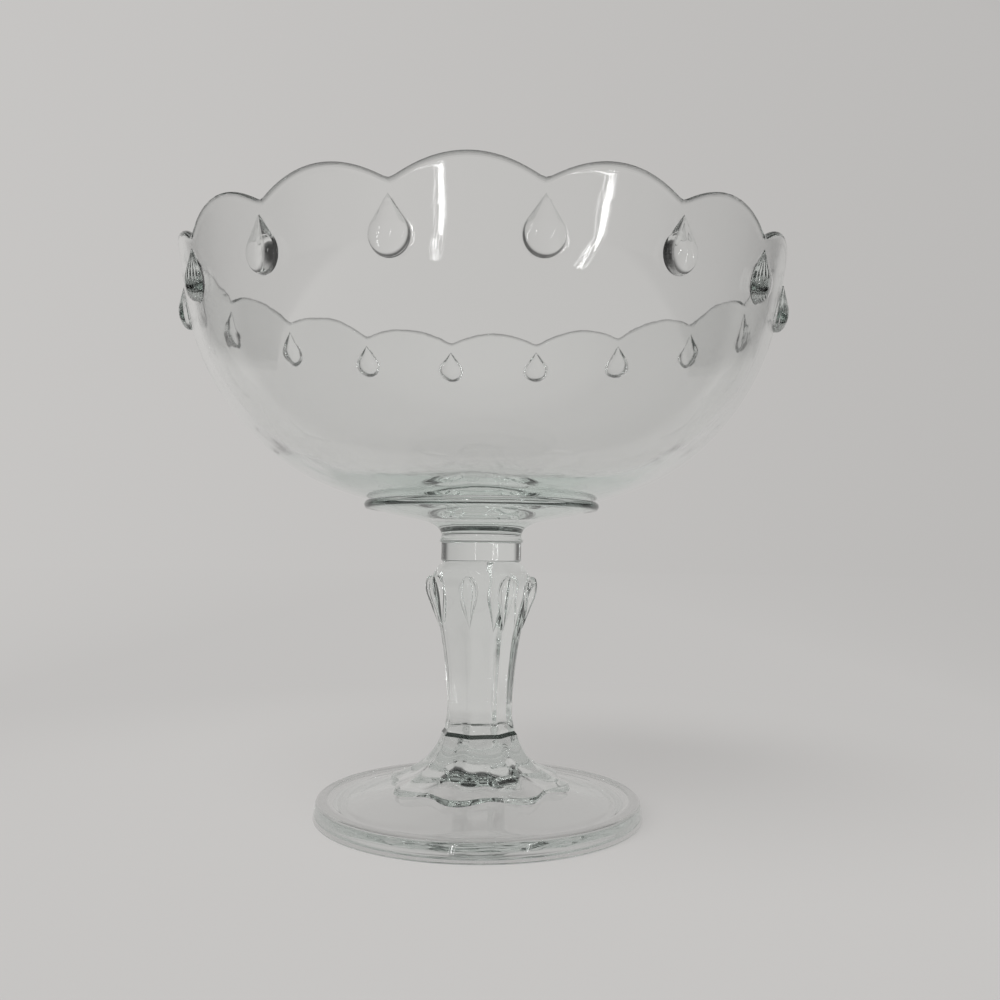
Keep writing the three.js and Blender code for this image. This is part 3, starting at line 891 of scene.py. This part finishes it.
def paleFloor(look, tone):
    material = bpy.data.materials.new("paleFloor")
    material.use_nodes = True
    tree = material.node_tree
    links = tree.links
    tree.nodes.clear()
    out = addNode(tree, "ShaderNodeOutputMaterial")
    where = addNode(tree, "ShaderNodeTexCoord")
    # near the compote: matt, so that it takes a shadow, with an even glow
    matt = addNode(tree, "ShaderNodeBsdfDiffuse", {"Color": look["floorColour"]})
    sheen = addNode(tree, "ShaderNodeEmission")
    near = addNode(tree, "ShaderNodeMixShader", {0: look["floorGlowShare"]})
    # further off: toned as the backdrop is, pale along a lane from front to back
    ahead = addNode(tree, "ShaderNodeVectorMath", {1: look["front"]}, operation="DOT_PRODUCT")
    along = addNode(tree, "ShaderNodeMath", operation="ABSOLUTE")
    aside = addNode(tree, "ShaderNodeVectorMath", {1: look["left"]}, operation="DOT_PRODUCT")
    lane = addNode(tree, "ShaderNodeClamp", {"Min": -look["floorLane"], "Max": look["floorLane"]})
    beyond = addNode(tree, "ShaderNodeMath", operation="SUBTRACT")
    back = addNode(tree, "ShaderNodeVectorMath", {0: [-x for x in look["front"]]}, operation="SCALE")
    side = addNode(tree, "ShaderNodeVectorMath", {0: look["left"]}, operation="SCALE")
    toward = addNode(tree, "ShaderNodeVectorMath", operation="ADD")
    group = addNode(tree, "ShaderNodeGroup", node_tree=tone)
    glow = addNode(tree, "ShaderNodeEmission")
    length = addNode(tree, "ShaderNodeVectorMath", operation="LENGTH")
    nearest, furthest = look["floorFade"]
    fade = addNode(
        tree, "ShaderNodeMapRange", {"From Min": nearest, "From Max": furthest},
        interpolation_type="SMOOTHSTEP")
    mix = addNode(tree, "ShaderNodeMixShader")
    links.new(where.outputs["Object"], ahead.inputs[0])
    links.new(where.outputs["Object"], aside.inputs[0])
    links.new(ahead.outputs["Value"], along.inputs[0])
    links.new(aside.outputs["Value"], lane.inputs["Value"])
    links.new(aside.outputs["Value"], beyond.inputs[0])
    links.new(lane.outputs[0], beyond.inputs[1])
    links.new(along.outputs[0], back.inputs["Scale"])
    links.new(beyond.outputs[0], side.inputs["Scale"])
    links.new(back.outputs[0], toward.inputs[0])
    links.new(side.outputs[0], toward.inputs[1])
    links.new(toward.outputs[0], group.inputs[0])
    links.new(where.outputs["Object"], length.inputs[0])
    links.new(length.outputs["Value"], fade.inputs["Value"])
    links.new(group.outputs["Pale"], sheen.inputs["Color"])
    links.new(group.outputs["Tone"], glow.inputs["Color"])
    links.new(matt.outputs[0], near.inputs[1])
    links.new(sheen.outputs[0], near.inputs[2])
    links.new(fade.outputs[0], mix.inputs[0])
    links.new(near.outputs[0], mix.inputs[1])
    links.new(glow.outputs[0], mix.inputs[2])
    links.new(mix.outputs[0], out.inputs["Surface"])
    return material


def makeFloor(look, material):
    mesh = bpy.data.meshes.new("floor")
    radius, sides = look["floorRadius"], look["floorSides"]
    turns = [math.tau * i / sides for i in range(sides)]
    points = [(radius * math.cos(turn), radius * math.sin(turn), 0) for turn in turns]
    mesh.from_pydata(points, [], [list(range(sides))])
    mesh.materials.append(material)
    floor = addObject("floor", mesh)


tone = roomTone(roomLook)
makeBackdrop(tone)
makeFloor(roomLook, paleFloor(roomLook, tone))
print("camera and room made")


# lamps

lamps = {
    "sky": {"kind": "SUN", "place": (-0.9, -0.9, 1.5), "power": 4.2, "spread": 60},
    "leftStrip": {
        "kind": "AREA", "place": (-0.343, -0.792, 0.158), "power": 1.2,
        "size": (0.07, 0.31), "roll": -8,
    },
    "rightStrip": {
        "kind": "AREA", "place": (0.382, -0.766, 0.158), "power": 1.4,
        "size": (0.07, 0.35), "roll": -22,
    },
}
lampAim = (0, 0, 0.15)
streakLook = {"scale": (9, 2.2, 1), "detail": 4, "low": 0.50, "high": 0.60, "seed": 4, "sideFade": 0.42}


def feather(light, look):  # streaks along the lamp, fading to its sides
    light.use_nodes = True
    tree = light.node_tree
    links = tree.links
    glow = tree.nodes["Emission"]
    spot = addNode(tree, "ShaderNodeNewGeometry")
    split = addNode(tree, "ShaderNodeSeparateXYZ")
    wide = addNode(tree, "ShaderNodeMath", {1: 0.5}, operation="PINGPONG")  # 0 at both sides
    fade = addNode(
        tree, "ShaderNodeMapRange", {"From Max": look["sideFade"]}, interpolation_type="SMOOTHSTEP")
    stretch = addNode(tree, "ShaderNodeMapping", {"Scale": look["scale"], "Location": (look["seed"], 0, 0)})
    brush = addNode(tree, "ShaderNodeTexNoise", {"Scale": 1, "Detail": look["detail"]})
    strokes = addNode(tree, "ShaderNodeMapRange", {"From Min": look["low"], "From Max": look["high"]})
    both = addNode(tree, "ShaderNodeMath", operation="MULTIPLY")
    links.new(spot.outputs["Parametric"], split.inputs[0])
    links.new(split.outputs["X"], wide.inputs[0])
    links.new(wide.outputs[0], fade.inputs["Value"])
    links.new(spot.outputs["Parametric"], stretch.inputs["Vector"])
    links.new(stretch.outputs[0], brush.inputs["Vector"])
    links.new(brush.outputs["Fac"], strokes.inputs["Value"])
    links.new(fade.outputs[0], both.inputs[0])
    links.new(strokes.outputs[0], both.inputs[1])
    links.new(both.outputs[0], glow.inputs["Strength"])


def makeLamp(name, lamp, aim, look):
    data = bpy.data.lights.new(name, lamp["kind"])
    data.energy = lamp["power"]
    light = addObject(name, data)
    light.location = lamp["place"]
    light.visible_camera = False
    facing = (Vector(aim) - Vector(lamp["place"])).to_track_quat("-Z", "Y")
    if lamp["kind"] == "SUN":  # lights the floor, the glass does not mirror it
        data.angle = math.radians(lamp["spread"])
        light.visible_glossy = light.visible_transmission = False
    else:
        data.shape = "RECTANGLE"
        data.size, data.size_y = lamp["size"]
        feather(data, look)
        facing = facing @ Quaternion((0, 0, 1), math.radians(lamp["roll"]))
    light.rotation_euler = facing.to_euler()


for name, lamp in lamps.items():
    makeLamp(name, lamp, lampAim, streakLook)
print(len(lamps), "lamps made")

scene = bpy.context.scene
scene.view_settings.view_transform = "Standard"
scene.cycles.max_bounces = 40  # light runs far inside the glass
scene.cycles.glossy_bounces = 24
scene.cycles.transmission_bounces = 40
